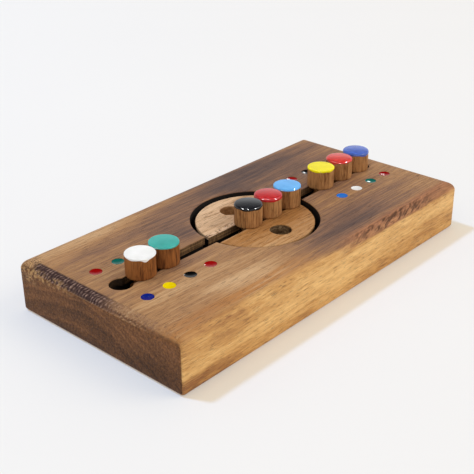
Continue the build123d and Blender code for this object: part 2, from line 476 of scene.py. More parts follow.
def pored(n, place):
    """Fibres and open pores of wood that grew along X."""
    fibres = n.noise(place, (0.040, 1.5, 1.5), 5.0, 0.7)
    pores = n.ease(n.noise(place, (0.17, 2.6, 2.6), 1.0), 0.60, 0.70)
    return fibres, pores


def weighted(n, base, *terms):
    """A base value plus each term's distance from one half, times its weight."""
    total = base
    for value, weight in terms:
        total = n.math("ADD", total, n.math("MULTIPLY_ADD", value, weight, -0.5 * weight))
    return total


def relief(n, fibres, pores, depth):
    """Raised fibres and sunken pores, and a satin finish that follows them."""
    n.bump(n.math("SUBTRACT", n.math("MULTIPLY", fibres, 0.8), pores), depth)
    n.set(Roughness=n.math("MULTIPLY_ADD", fibres, 0.30, 0.38), Specular_IOR_Level=0.14)


def heartwood(n, c, m):
    """The block's top: darker towards the right, with the streaks of FIGURE and an orange patch."""
    bent_y = n.split(m.bent)[1]
    tone = n.total(n.ease(m.x, -40.0, 20.0, 0.38, 0.54), n.ease(m.x, 70.0, 105.0, 0.0, -0.12))
    for centre, half, weight in FIGURE:
        along = n.math("DIVIDE", n.math("SUBTRACT", m.x, centre[0]), half[0])
        across = n.math("DIVIDE", n.math("SUBTRACT", bent_y, centre[1]), half[1])
        fade = n.math("EXPONENT", n.math("MULTIPLY", n.squares(across, along), -1.0))
        tone = n.math("MULTIPLY_ADD", fade, weight, tone)
    tone = weighted(n, tone, (m.bands, 0.40), (m.streaks, 0.55), (m.broad, 0.40))
    tone = weighted(n, tone, (m.fibres, 0.72), (m.fine, 0.72))
    top = n.ramp(
        tone,
        ((0.0, c.wood_pale), (0.36, c.wood_tan), (0.64, c.wood_brown), (0.95, c.wood_dark)),
    )
    patch = n.product(
        n.ease(weighted(n, m.y, (m.broad, 30.0)), -37.0, -50.0),
        n.ease(m.x, 5.0, -40.0),
        n.ease(m.streaks, 0.36, 0.62, 0.15, 0.85),
    )
    return n.mix(patch, top, c.wood_orange)


def sapwood(n, c, m, wood):
    """Golden sapwood along the long front, with a ragged border on the rounded edge."""
    x, y, z = m.x, m.y, m.z
    border = weighted(n, y, (n.noise(m.place, (0.03, 0.10, 0.10), 3.0), 5.0))
    sap = n.ease(border, n.ease(x, -60.0, 10.0, -48.5, -52.3), -54.3)

    # darker along the foot, at the upper left and half-way up on the right
    low = n.product(n.ease(z, 9.5, 4.0), n.ease(x, -85.0, -60.0, 0.46, 0.12))
    shaded = n.product(n.ease(z, 10.5, 16.0), n.ease(x, -50.0, -78.0, 0.0, 0.32))
    dull = n.product(n.ease(n.distance(z, 10.0), 6.0, 1.0), n.ease(x, 25.0, 75.0, 0.0, 0.31))
    # brighter half-way up and at the middle of the foot
    bright = n.product(n.ease(z, 7.0, 12.0), n.ease(z, 26.5, 19.5))
    foot = n.product(n.ease(n.distance(x, -4.0), 22.0, 6.0), n.ease(z, 12.0, 9.0))
    bright = n.math("MULTIPLY_ADD", foot, 1.6, bright)

    wave = n.noise(m.bent, (0.020, 0.12, 0.20), 4.0, 0.6, 0.4)
    mottle = n.noise(m.place, (0.10, 0.28, 0.48), 4.0, 0.7, 0.5)
    dash = n.ease(n.noise(m.place, (0.12, 0.8, 1.0), 2.0, 0.6), 0.60, 0.72)
    tone = n.math("SUBTRACT", n.total(low, dull, shaded), n.math("MULTIPLY_ADD", bright, 0.16, -0.36))
    tone = weighted(n, tone, (wave, 1.0), (m.streaks, 0.30), (m.fibres, 0.7), (m.fine, 0.5), (mottle, 0.9))
    tone = n.math("MULTIPLY_ADD", dash, 0.30, n.math("SUBTRACT", tone, 0.03))
    front = n.ramp(tone, ((0.0, c.sap_pale), (0.45, c.sap_gold), (0.95, c.sap_brown)))
    return n.mix(sap, wood, front)


def rusty_seam(n, c, m, wood):
    """A rust-brown seam that parts the two woods along the right half of the rounded edge."""
    skin = n.math("SUBTRACT", n.math("SUBTRACT", -22.0, m.z), m.y)
    skin = weighted(n, skin, (n.noise(m.place, (0.035, 0.12, 0.12), 3.0), 6.0))
    seam = n.product(
        n.ease(skin, -4.0, 1.5),
        n.ease(skin, 10.4, 8.2),
        n.ease(m.z, 18.0, 21.0),
        n.ease(m.x, -6.0, 26.0, 0.0, 0.86),
    )
    tone = weighted(n, 0.45, (m.fine, 1.4), (m.fibres, 1.0))
    red = c.torn_red
    return n.mix(seam, wood, n.ramp(tone, ((0.1, scaled(red, 1.4)), (0.5, red), (0.9, scaled(red, 0.5)))))


def sawn_ends(n, c, m, wood):
    """Sawn ends, which drink the oil and show the fibres end on."""
    facing = n.math("ABSOLUTE", n.split(n.coordinates["Normal"])[0])
    specks = n.noise(m.place, (0.3, 0.8, 0.8), 3.0, 0.75)
    tone = weighted(n, 0.46, (specks, 1.7), (m.bands, 0.8), (m.broad, 0.7))
    tone = n.math("ADD", tone, n.ease(m.z, 4.0, 22.0, -0.10, 0.10))
    end = c.end_grain
    sawn = n.ramp(tone, ((0.05, scaled(end, 0.40)), (0.45, end), (0.95, scaled(end, 2.2))))
    return n.mix(n.ease(facing, 0.70, 0.96), wood, sawn)


def torn_fibres(n, c, m, wood):
    """Torn edges: dark in the pits and pale on the ridges, reddish along the long front."""
    torn = n.add("ShaderNodeAttribute", attribute_name="torn").outputs["Fac"]
    pit = n.add("ShaderNodeAttribute", attribute_name="pit").outputs["Fac"]
    fleck = weighted(n, pit, (n.noise(m.place, (0.9, 0.9, 0.9), 2.0), 0.55))
    between = blended(c.torn_pale, c.torn_dark, 0.36)
    ragged = n.ramp(fleck, ((0.10, c.torn_pale), (0.50, between), (1.0, c.torn_dark)))
    red = c.torn_red
    stops = ((0.05, scaled(red, 1.5)), (0.45, scaled(red, 0.62)), (1.0, scaled(red, 0.34)))
    return n.mix(torn, wood, n.mix(n.ease(m.y, -47.0, -50.0), ragged, n.ramp(fleck, stops)))


def split_corner(n, c, m, wood):
    """Golden splinters at the far left corner and along the ledge beside it, with dark cracks."""
    x, y, z = m.x, m.y, m.z
    corner = n.product(n.ease(y, 41.0, 46.5), n.ease(x, -99.5, -104.0), n.ease(z, 15.0, 21.0))
    ledge = n.product(
        n.ease(y, 10.0, 34.0), n.ease(x, -104.6, -106.2), n.ease(z, 21.0, 22.6), n.ease(z, 27.0, 25.2)
    )
    splinter = n.noise(m.place, (0.30, 0.45, 0.45), 4.0, 0.65)
    golden = n.product(n.math("MAXIMUM", corner, ledge), n.ease(splinter, 0.44, 0.62), 0.62)
    wood = n.mix(golden, wood, n.ramp(m.fibres, ((0.3, c.wood_tan), (0.68, c.sap_pale))))
    crack = n.ease(n.distance(splinter, 0.5), 0.030, 0.008)
    return n.mix(n.product(crack, corner, 0.9), wood, c.torn_dark)


def block_wood(c):
    """The block: streaked heartwood on top, golden sapwood on the long front, speckled ends."""
    n = Finish("block_wood")
    m = SimpleNamespace(place=n.millimetres())
    m.x, m.y, m.z = n.split(m.place)
    m.bent, m.bands, m.streaks = growth(n, m.place, (18.0, -78.0), 5.5)
    m.fibres, m.pores = pored(n, m.place)
    m.broad = n.noise(m.bent, (0.007, 0.055, 0.055), 2.0)
    m.fine = n.noise(m.bent, (0.032, 0.95, 0.95), 4.0, 0.65)
    wood = heartwood(n, c, m)
    for layer in (sapwood, rusty_seam, sawn_ends, torn_fibres, split_corner):
        wood = layer(n, c, m, wood)
    n.set(Base_Color=n.mix(n.math("MULTIPLY", m.pores, 0.42), wood, scaled(c.wood_dark, 0.5)))
    relief(n, m.fibres, m.pores, 0.00010)
    return n.material


def disc_wood(c):
    """The turntable: paler, straighter wood of a finer grain."""
    n = Finish("disc_wood")
    x, y, _ = n.split(n.millimetres())
    place = n.vector("ADD", n.millimetres(), (311.0, 47.0, 19.0))
    _, bands, streaks = growth(n, place, (60.0, -30.0), 4.0)
    fibres, pores = pored(n, place)
    near = n.ease(y, 3.0, -6.0)
    far_tone = n.ease(n.math("SUBTRACT", n.math("MULTIPLY", x, 0.7), y), -30.0, 40.0, 0.05, 0.52)
    near_tone = n.total(n.ease(y, -28.0, -11.0, 0.12, 0.42), n.ease(x, -12.0, 15.0, 0.0, 0.14))
    warm = n.math("MULTIPLY_ADD", near, n.math("SUBTRACT", near_tone, far_tone), far_tone)
    dashes = n.ease(n.noise(place, (0.11, 1.3, 1.3), 2.0), 0.57, 0.70)
    tone = weighted(n, warm, (bands, 0.4), (streaks, 0.6), (fibres, 0.8))
    tone = n.math("MULTIPLY_ADD", dashes, 0.35, tone)
    wood = n.ramp(tone, ((0.0, c.disc_pale), (0.55, c.disc_warm), (1.0, scaled(c.disc_warm, 0.5))))
    gold = n.ramp(tone, ((0.0, c.disc_honey), (0.5, c.disc_gold), (1.0, scaled(c.disc_gold, 0.42))))
    wood = n.mix(n.math("MULTIPLY", near, 0.85), wood, gold)

    # the cutter has torn pale splinters out of the slot's far edge, on the left
    rim = n.ease(weighted(n, y, (n.noise(place, (0.35, 0.35, 0.35), 2.0), 3.0)), 7.4, 5.8)
    rim = n.product(rim, n.ease(y, 2.0, 3.5), n.ease(x, -8.0, -12.0))
    slanted = n.combine(n.math("MULTIPLY_ADD", y, -0.6, x), y, 7.0)
    chips = n.noise(slanted, (0.50, 0.30, 0.0), 2.0, 0.6)
    wood = n.mix(n.product(rim, n.ease(chips, 0.38, 0.50, 0.0, 0.85)), wood, c.splinters)
    holes = n.ease(n.noise(place, (0.55, 0.80, 0.80), 1.0), 0.57, 0.64, 0.0, 0.9)
    wood = n.mix(n.product(rim, n.ease(y, 4.2, 4.8), holes), wood, c.dowel_deep)
    n.set(Base_Color=n.mix(n.math("MULTIPLY", pores, 0.55), wood, c.dowel_deep))
    relief(n, fibres, pores, 0.00010)
    return n.material


def dowel_wood(name, pale, dark):
    """A peg: dowel with its grain upright."""
    n = Finish(name)
    x, y, z = n.split(n.millimetres())
    place = n.combine(z, x, y)
    fibres, pores = pored(n, place)
    lot = n.noise(place, (0.0, 0.045, 0.0), 0.0)
    flank = n.noise(place, (0.04, 0.15, 0.15), 2.0)
    coarse = n.noise(place, (0.10, 0.60, 0.60), 4.0, 0.65, 0.5)
    check = n.ease(n.noise(place, (0.10, 1.1, 1.1), 3.0, 0.6), 0.60, 0.70)
    tone = weighted(n, 0.28, (lot, 0.6), (flank, 2.2), (coarse, 2.6), (fibres, 1.8))
    wood = n.ramp(tone, ((0.0, pale), (0.6, blended(pale, dark, 0.5)), (1.0, dark)))
    wood = n.mix(n.product(n.math("MAXIMUM", pores, check), 0.6), wood, scaled(dark, 0.5))
    n.set(Base_Color=wood)
    relief(n, fibres, pores, 0.00012)
    return n.material


def cut_wood(name, tones, rough, fineness=1.0, marked=0.8, far=None):
    """Wood inside a cut: plain, with fine tool marks, and other tones beyond the middle if given."""
    n = Finish(name)
    place = n.millimetres()
    x, y, _ = n.split(place)
    fibres = n.noise(place, (0.05, 1.2 * fineness, 1.2 * fineness), 4.0, 0.7)
    marks = n.noise(place, (1.6 * fineness, 1.6 * fineness, 0.25), 3.0)
    tone = weighted(n, 0.5, (fibres, 1.6), (marks, marked))
    wood = n.ramp(tone, tones)
    # the near half keeps the first tones and the far half takes the far ones; in the finger holes the near
    # tones hold painted shade
    if far:
        wood = n.mix(n.ease(y, -5.0, 5.0), wood, n.ramp(tone, far))
    # the entry holes' walls go near-black: painted shade of the deep holes
    entry_hole_shade = n.ease(n.math("ABSOLUTE", x), 85.0, 88.5, 0.0, 0.85)
    n.set(Base_Color=n.mix(entry_hole_shade, wood, tones[-1][1]))
    n.set(Roughness=n.math("MULTIPLY_ADD", fibres, 0.3, rough), Specular_IOR_Level=0.25)
    n.bump(weighted(n, 0.5, (fibres, 0.5), (marks, 0.5)), 0.00015)
    return n.material


def shaded_fill_tone(tone):
    """The colour of enamel in a dimple, darkened with painted shade: greens and blues the most."""
    keep = 0.64 + 0.36 * tone[0] / max(tone)
    return tuple(keep * v ** 1.9 for v in tone)


def enamel(name, tone, shine):
    """Poured enamel: glossy, a little uneven, thinner and lighter in places."""
    n = Finish(name)
    place = n.millimetres()
    cloud = n.noise(place, (0.16, 0.16, 0.16), 2.0)
    peel = n.noise(place, (0.55, 0.55, 0.55), 2.0)
    thin = tuple(min(1.0, 1.06 * v + 0.008) for v in tone)
    deep = tuple((0.86 + 0.10 * v) * v for v in tone)
    n.set(Base_Color=n.ramp(cloud, ((0.3, deep), (0.5, tone), (0.72, thin))))
    n.set(Roughness=n.ease(peel, 0.3, 0.75, 0.035, 0.075), IOR=1.5, Specular_IOR_Level=shine)
    n.bump(peel, 0.00008, 0.5)
    return n.material


def bright_steel(name, tone):
    """Zinc-plated steel with fine turning marks."""
    n = Finish(name)
    place = n.millimetres()
    x, y, z = n.split(place)
    radius = n.math("SQRT", n.squares(x, y))
    turned_marks = n.lines(n.math("MULTIPLY", n.math("ADD", radius, z), 9.0), 2.0)
    stain = n.noise(place, (0.5, 0.5, 0.5), 4.0, 0.65)
    n.set(Base_Color=n.ramp(stain, ((0.3, scaled(tone, 0.62)), (0.6, tone))))
    n.set(Roughness=n.ease(stain, 0.25, 0.75, 0.45, 0.26), Metallic=1.0)
    n.bump(turned_marks, 0.00003)
    return n.material


def material(name):
    """A finish of the puzzle, made the first time that a piece needs it."""
    found = bpy.data.materials.get(name)
    if found:
        return found
    c = bpy.context.scene.puzzle_colours
    if name == "block_wood":
        return block_wood(c)
    if name == "disc_wood":
        return disc_wood(c)
    if name == "pale_dowel":
        return dowel_wood(name, c.dowel_pale, c.dowel_warm)
    if name == "reddish_dowel":
        return dowel_wood(name, c.dowel_red, c.dowel_deep)
    if name == "scorched_wood":
        return cut_wood(name, ((0.3, c.scorched), (0.8, scaled(c.scorched, 2.6))), 0.55)
    if name == "routed_wood":
        return cut_wood(name, ROUTED, 0.55)
    if name == "bored_wood":
        return cut_wood(name, BORED_NEAR_SHADED, 0.5, 0.35, 0.35, BORED_FAR)
    if name == "bright_steel":
        return bright_steel(name, c.steel)
    # the dots' enamel is darkened: painted shade of their dimples
    if name.endswith("_fill"):
        return enamel(name, shaded_fill_tone(getattr(c, name.removesuffix("_fill"))), 0.15)
    thin_film = name in ("white_gloss", "yellow_gloss")
    return enamel(name, tuple(getattr(c, name.removesuffix("_gloss"))), 0.2 if thin_film else 0.5)


def waver(point, pitch, seed):
    """A smooth random value between -1 and 1 that varies over the given pitch."""
    return noise.noise(Vector(point) / pitch + Vector((seed * 17.3, seed * 5.9, seed * 11.1)))


def smooth(value, low, high):
    """0 below low, 1 above high, and an eased value between them."""
    t = max(0.0, min(1.0, (value - low) / (high - low)))
    return t * t * (3.0 - 2.0 * t)


def spread(start, end, pitch):
    """Values from start up to, but not including, end."""
    count = max(1, round(abs(end - start) / pitch))
    return [start + (end - start) * i / count for i in range(count)]


def rounded(radius, steps, last=math.pi / 2):
    """An edge's round from the wall upwards: inset, rise and share of the turn at each step."""
    points = []
    for i in range(steps + 1):
        angle = last * i / steps
        points.append((radius * (1 - math.cos(angle)), radius * math.sin(angle), i / steps))
    return points


def linked(name, data):
    """An object of the scene that holds the given data."""
    made = bpy.data.objects.new(name, data)
    bpy.context.scene.collection.objects.link(made)
    return made


def bare(name, points, edges=(), faces=()):
    """A mesh object without a finish."""
    mesh = bpy.data.meshes.new(name)
    mesh.from_pydata(points, edges, faces)
    return linked(name, mesh)


def stacked(name, rings, finishes, bands=None):
    """A closed solid from rings of points, listed from the bottom up, anticlockwise from above."""
    count = len(rings[0])
    points = [point for ring in rings for point in ring]
    faces = []
    indices = []
    for level in range(len(rings) - 1):
        low = level * count
        high = low + count
        for i in range(count):
            j = (i + 1) % count
            faces.append((low + i, low + j, high + j, high + i))
            indices.append(bands[level] if bands else 0)
    top = (len(rings) - 1) * count
    faces.append(tuple(range(count - 1, -1, -1)))
    faces.append(tuple(range(top, top + count)))
    indices.extend((indices[0], indices[-1]))
    made = bare(name, points, faces=faces)
    for finish in finishes:
        made.data.materials.append(material(finish))
    made.data.polygons.foreach_set("material_index", indices)
    made.data.update()
    return made


def prism(name, flat, levels, finish):
    """A straight solid from its outline and its lower and upper level."""
    return stacked(name, [[(x, y, z) for x, y in flat] for z in levels], (finish,))


def inner_rings(ring):
    """Smaller and smaller copies of a ring, for a flat face that holes are cut in."""
    return [[(share * x, share * y, z) for x, y, z in ring] for share in INNER_SHARES]


def round_ring(centre, radius, z, steps, ease=None):
    """A circle of points; ease gives each point's own extra radius."""
    ring = []
    for i in range(steps):
        angle = 2.0 * math.pi * i / steps
        r = radius + (ease(angle) if ease else 0.0)
        ring.append((centre[0] + r * math.cos(angle), centre[1] + r * math.sin(angle), z))
    return ring


def worn_cutter(name, ring, low, high, wear, finishes):
    """A cutter that opens upwards with a worn rim; ring gives its points from height and wear."""
    levels = [(low, 0.0), (high - RIM_START * wear, 0.0)]
    levels += [(high - drop * wear, share) for share, drop in WORN_RIM]
    levels.append((high + OVERRUN, 1.0))
    return stacked(name, [ring(z, share) for z, share in levels], finishes, (1, 0, 0, 0, 0))


def eased_hole(name, centre, radius, low, high, steps, wear, finishes, seed, ragged):
    """A cutter for a round hole that opens upwards, with a worn, slightly torn rim."""

    def ring(z, share):
        def extra(angle):
            spot = (math.cos(angle) * radius, math.sin(angle) * radius, 0.0)
            tear = max(0.0, waver(spot, 1.6 * MM, seed)) * 2.2 * ragged
            return share * wear * (0.8 + 0.5 * waver(spot, 6.0 * MM, seed + 1) + tear)

        return round_ring(centre, radius, z, steps, extra)

    return worn_cutter(name, ring, low, high, wear, finishes)


def worn_slot(name, inner, outer, low, top, wear, finishes, tear):
    """A cutter for the slot, from its outline and a wider one for its worn upper edge."""
    shares = []
    for x, y in inner:
        spot = (x, y, 0.0)
        shares.append(0.8 + 0.5 * waver(spot, 8.0 * MM, 3) + tear(spot))

    def ring(z, share):
        made = []
        for a, b, own in zip(inner, outer, shares):
            k = share * own
            made.append((a[0] + k * (b[0] - a[0]), a[1] + k * (b[1] - a[1]), z))
        return made

    return worn_cutter(name, ring, low, top, wear, finishes)


def cut(body, cutters):
    """Cuts the cutters out of a body, keeps their finishes on the cut faces, and removes them."""
    for cutter in cutters:
        step = body.modifiers.new(cutter.name, "BOOLEAN")
        step.operation = "DIFFERENCE"
        step.solver = "EXACT"
        step.material_mode = "TRANSFER"
        step.object = cutter
    bake(body)
    for cutter in cutters:
        bpy.data.objects.remove(cutter)


def bake(made):
    """Turns a piece and its modifiers into a plain mesh."""
    shape = made.evaluated_get(bpy.context.evaluated_depsgraph_get())
    mesh = bpy.data.meshes.new_from_object(shape)
    made.modifiers.clear()
    made.data = mesh
    return made


def tidy(made, angle, recalculate=True):
    """Closes seams, turns faces outwards and smooths all but the sharp edges."""
    shape = bmesh.new()
    shape.from_mesh(made.data)
    bmesh.ops.remove_doubles(shape, verts=shape.verts, dist=2e-7)
    bmesh.ops.dissolve_degenerate(shape, edges=shape.edges, dist=1e-7)
    if recalculate:
        bmesh.ops.recalc_face_normals(shape, faces=shape.faces)
    gaps = sum(1 for edge in shape.edges if len(edge.link_faces) != 2)
    if gaps:
        raise RuntimeError(f"{made.name} has {gaps} open edges")
    shape.to_mesh(made.data)
    shape.free()
    made.data.shade_smooth()
    made.data.set_sharp_from_angle(angle=math.radians(angle))
    return made


def settle(made, body, slot, *nodes):
    """Lets a piece ride on its body in place of its solids."""
    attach(made, body)
    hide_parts(*nodes)


def outline(half, radius, reach, count_side, count_arc):
    """The track's outline from above: a slot with a round entry hole at each end."""
    meet = reach - math.sqrt(max(radius * radius - half * half, 0.0))
    lean = math.asin(min(1.0, half / radius))
    points = [(-meet + 2 * meet * i / count_side, -half) for i in range(count_side)]
    for i in range(count_arc):
        angle = (math.pi - lean) * (2.0 * i / count_arc - 1.0)
        points.append((reach + radius * math.cos(angle), radius * math.sin(angle)))
    points += [(meet - 2 * meet * i / count_side, half) for i in range(count_side)]
    for i in range(count_arc):
        angle = lean + (2.0 * math.pi - 2.0 * lean) * i / count_arc
        points.append((-reach + radius * math.cos(angle), radius * math.sin(angle)))
    return points


def chatter_marks(y, turn, s):
    """The tool's marks on the left end's rounded edge: colour share, pit share and depth."""
    along = turn * s.top_round * math.pi / 2
    spot = (y, along, 0.0)
    reach = smooth(y, -50.0 * MM, -22.0 * MM) * (1.0 - smooth(y, 44.0 * MM, 47.5 * MM))
    band = smooth(turn, 0.08, 0.22) * (1.0 - smooth(turn, 0.92, 1.0))
    row = along / (2.3 * MM) + 0.40 * waver(spot, 5.0 * MM, 5)
    part = row - math.floor(row)
    column = y / (1.9 * MM) + 0.37 * math.floor(row) + 0.55 * part
    column += 0.45 * waver(spot, 3.5 * MM, 6) + 0.22 * waver(spot, 1.3 * MM, 8)
    chip = smooth(math.cos(2 * math.pi * column), -0.30, 0.80) * math.sin(math.pi * part) ** 0.6
    chip *= max(0.15, min(1.0, 0.80 + 1.1 * waver(spot, 2.4 * MM, 7)))
    pit = max(0.0, min(1.0, 1.0 - chip + 0.25 * waver(spot, 1.0 * MM, 12)))
    amount = reach * band
    far = smooth(y, -20.0 * MM, 2.0 * MM)
    stain = min(1.0, amount * (0.22 + 0.78 * far))
    return stain, pit * (0.55 + 0.45 * far), amount * pit * s.chatter


def front_tear(x, turn, s):
    """The tear on the right half of the front's rounded edge: colour share, pit share and depth."""
    along = turn * s.top_round * math.pi / 2
    spot = (x / 5.0, along - 0.33 * x, 0.0)
    reach = smooth(x, -6.0 * MM, 18.0 * MM) * (1.0 - smooth(x, 76.0 * MM, 100.0 * MM))
    sway = 0.10 * waver((x, 0.0, 0.0), 16.0 * MM, 9) + 0.05 * waver((x, 0.0, 0.0), 5.0 * MM, 13)
    band = smooth(turn + sway, 0.14, 0.26) * (1.0 - smooth(turn, 0.86, 1.0))
    ragged = smooth(waver(spot, 0.8 * MM, 9) + 0.6 * waver(spot, 2.4 * MM, 10), -0.35, 0.40)
    heavy = 1.0 - 0.5 * smooth(abs(x - 50.0 * MM), 16.0 * MM, 42.0 * MM)
    light = smooth(waver(spot, 1.2 * MM, 11), 0.15, 0.5)
    pit = max(0.0, min(1.0, 0.25 + 0.75 * ragged * heavy - 0.5 * light))
    amount = reach * band
    return amount * max(ragged, 0.7 * light) * heavy, pit, amount * ragged * heavy * 0.8 * s.chatter


def torn_edge(side, x, y, turn, s):
    """How torn the rounded upper edge is at a point: colour share, pit share and depth."""
    if turn > 0.0 and side == "left":
        return chatter_marks(y, turn, s)
    if turn > 0.0 and side == "front":
        return front_tear(x, turn, s)
    return 0.0, 0.0, 0.0


def block_rings(s):
    """Rings of the block's skin with its rounded edges, and how torn and pitted their points are."""
    hx, hy, top = BOARD_HIGH
    corner = s.corner_round
    near = [corner * k for k in CORNER_SHARES]

    def side(half, name):
        places = [-half] + [-half + d for d in near]
        places += spread(-half + near[-1], half - near[-1], PITCHES[name] * MM)[1:]
        return places + [half - d for d in reversed(near)]

    edge = [("front", x, -hy) for x in side(hx, "front")]
    edge += [("right", hx, y) for y in side(hy, "right")]
    edge += [("back", -x, hy) for x in side(hx, "back")]
    edge += [("left", -hx, -y) for y in side(hy, "left")]

    wall = top - s.top_round
    lower = rounded(s.bottom_round, ROUND_STEPS["lower_edge"])
    upper = rounded(s.top_round, ROUND_STEPS["upper_edge"])
    levels = [(s.bottom_round - rise, inset, 0.0) for inset, rise, _ in lower]
    levels += [(0.0, z, 0.0) for z in spread(s.bottom_round, wall, PITCHES["wall"] * MM)[1:]]
    levels += [(inset, wall + rise, turn) for inset, rise, turn in upper]

    rings = []
    marks = {"torn": [], "pit": []}
    for inset, z, turn in levels:
        wide = hx - inset
        deep = hy - inset
        angle = math.pi / 2 * turn
        ring = []
        for name, x0, y0 in edge:
            x = x0 * wide / hx
            y = y0 * deep / hy
            cx = max(-(wide - corner), min(wide - corner, x))
            cy = max(-(deep - corner), min(deep - corner, y))
            away = Vector((x - cx, y - cy))
            if away.length > 0.0:
                away = away.normalized() * corner
                x = cx + away.x
                y = cy + away.y
            torn, pit, depth = torn_edge(name, x, y, turn, s)
            if depth > 0.0:
                inward = Vector((-x, 0.0)) if name == "left" else Vector((0.0, -y))
                inward = inward.normalized() * math.cos(angle) * depth
                x += inward.x
                y += inward.y
            ring.append((x, y, z - depth * math.sin(angle)))
            marks["torn"].append(torn)
            marks["pit"].append(pit)
        rings.append(ring)
    return rings, marks


def dot_places(tone):
    """Centres of one colour's dots and the names of their solids."""
    names = [name for name in frame["nodes"] if name.startswith(f"{tone}_dot_")]
    names.sort()
    corners = [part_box(name) for name in names]
    return [0.5 * (low + high) for low, high in corners], names


class MESH_OT_puzzle_block(bpy.types.Operator):
    """Make the block with its track, recess and dimples"""

    bl_idname = "mesh.puzzle_block"
    bl_label = "Block"

    def execute(self, context):
        s = context.scene.puzzle_sizes
        top = BOARD_HIGH.z
        rings, marks = block_rings(s)
        below = inner_rings(rings[0])[::-1]
        above = inner_rings(rings[-1])
        plain = [0.0] * len(rings[0])
        block = stacked("block", below + rings + above, ("block_wood",))
        for name, values in marks.items():
            attribute = block.data.attributes.new(name, "FLOAT", "POINT")
            attribute.data.foreach_set("value", plain * len(below) + values + plain * len(above))

        half = s.slot_width / 2
        entry = s.undercut / 2
        wear = s.edge_wear
        recess = eased_hole(
            "recess_cutter", (0, 0), s.recess_radius, DISC_LOW.z, top, ROUND_STEPS["recess"], wear,
            ("block_wood", "scorched_wood"), 2, 0.15,
        )
        slot = worn_slot(
            "slot_cutter",
            outline(half, entry, s.entry_offset, *SLOT_STEPS),
            outline(half + wear, entry + wear, s.entry_offset, *SLOT_STEPS),
            top - s.lip - OVERLAP, top, wear, ("block_wood", "routed_wood"),
            lambda spot: 1.6 * max(0.0, waver(spot, 2.2 * MM, 4) - 0.25),
        )
        # the channel is as wide as the entry holes, less a hair that keeps its outline open
        channel = outline(entry * 0.9999, entry, s.entry_offset, *CHANNEL_STEPS)
        # the undercut takes the near-black finish: painted shade under the lips
        undercut = prism("undercut_cutter", channel, (top - s.track_depth, top - s.lip), "scorched_wood")
        bore = stacked(
            "bore_cutter",
            [round_ring((0, 0), r * MM, z * MM, ROUND_STEPS["bore"]) for r, z in BORE],
            ("routed_wood",),
        )
        cutters = [recess, slot, undercut, bore]
        for tone in ENAMELS:
            for place in dot_places(tone)[0]:
                cutters.append(
                    eased_hole(
                        f"dimple_cutter_{len(cutters)}", place[:2], s.dot_radius, top - s.dimple_depth,
                        top, ROUND_STEPS["dimple"], DIMPLE_WEAR, ("block_wood", "routed_wood"),
                        len(cutters), 0.8,
                    )
                )
        cut(block, cutters)
        tidy(block, SHARP["wood"], False)
        settle(block, "board", "board_wood", "board")
        return {"FINISHED"}


class MESH_OT_puzzle_disc(bpy.types.Operator):
    """Make the turntable with its slot and finger holes"""

    bl_idname = "mesh.puzzle_disc"
    bl_label = "Turntable"

    def execute(self, context):
        s = context.scene.puzzle_sizes
        radius = DISC_HIGH.x
        top = DISC_HIGH.z
        low = DISC_LOW.z

        def dent(angle):
            spot = (radius * math.cos(angle), radius * math.sin(angle), 0.0)
            return -DISC_DENT * max(0.0, waver(spot, 4.0 * MM, 21))

        steps = ROUND_STEPS["disc"]
        rings = [round_ring((0, 0), radius, z, steps) for z in (low, top - 3 * DISC_EDGE)]
        for inset, rise, _ in rounded(DISC_EDGE, ROUND_STEPS["disc_edge"]):
            rings.append(round_ring((0, 0), radius - inset, top - DISC_EDGE + rise, steps, dent))
        below = inner_rings(rings[0])[::-1]
        rings = below + rings + inner_rings(rings[-1])
        # the disc's lower side and bottom take the near-black finish: painted shade in the gap round it
        bands = [1 if level <= len(below) else 0 for level in range(len(rings) - 1)]
        disc = stacked("disc", rings, ("disc_wood", "scorched_wood"), bands)

        half = s.slot_width / 2
        entry = s.undercut / 2
        wear = s.edge_wear
        reach = radius + 4 * MM

        def tear(spot):
            left = 1.0 - smooth(spot[0], -12.0 * MM, 4.0 * MM)
            far = smooth(spot[1], 0.0, 2.0 * MM) * (0.35 + 0.65 * left)
            return (0.5 + 1.8 * far) * max(0.0, waver(spot, 1.3 * MM, 22) - 0.08)

        def strip(h):
            places = [-reach + 2 * reach * i / DISC_SLOT_STEPS for i in range(DISC_SLOT_STEPS)]
            return [(x, -h) for x in places] + [(-x, h) for x in places]

        slot = worn_slot(
            "disc_slot_cutter", strip(half), strip(half + wear), top - s.lip - OVERLAP, top, wear,
            ("disc_wood", "routed_wood"), tear,
        )
        channel = ((-reach, -entry), (reach, -entry), (reach, entry), (-reach, entry))
        # the disc's undercut takes the near-black finish: painted shade under the lips
        undercut = prism(
            "disc_undercut_cutter", channel, (top - s.track_depth, top - s.lip), "scorched_wood"
        )
        pilot = stacked(
            "pilot_cutter",
            [round_ring((0, 0), PILOT_RADIUS, z, ROUND_STEPS["pilot"]) for z in (low - OVERRUN, PILOT_TOP)],
            ("routed_wood",),
        )
        holes = [
            eased_hole(
                f"finger_cutter_{i}", (0, y), s.finger_radius, top - s.finger_depth, top,
                ROUND_STEPS["finger"], wear, ("disc_wood", "bored_wood"), 23 + i, 1.1,
            )
            for i, y in enumerate((-s.finger_offset, s.finger_offset))
        ]
        cut(disc, [slot, undercut, pilot] + holes)
        tidy(disc, SHARP["wood"], False)
        settle(disc, "turntable", "turntable_wood", "turntable")
        return {"FINISHED"}


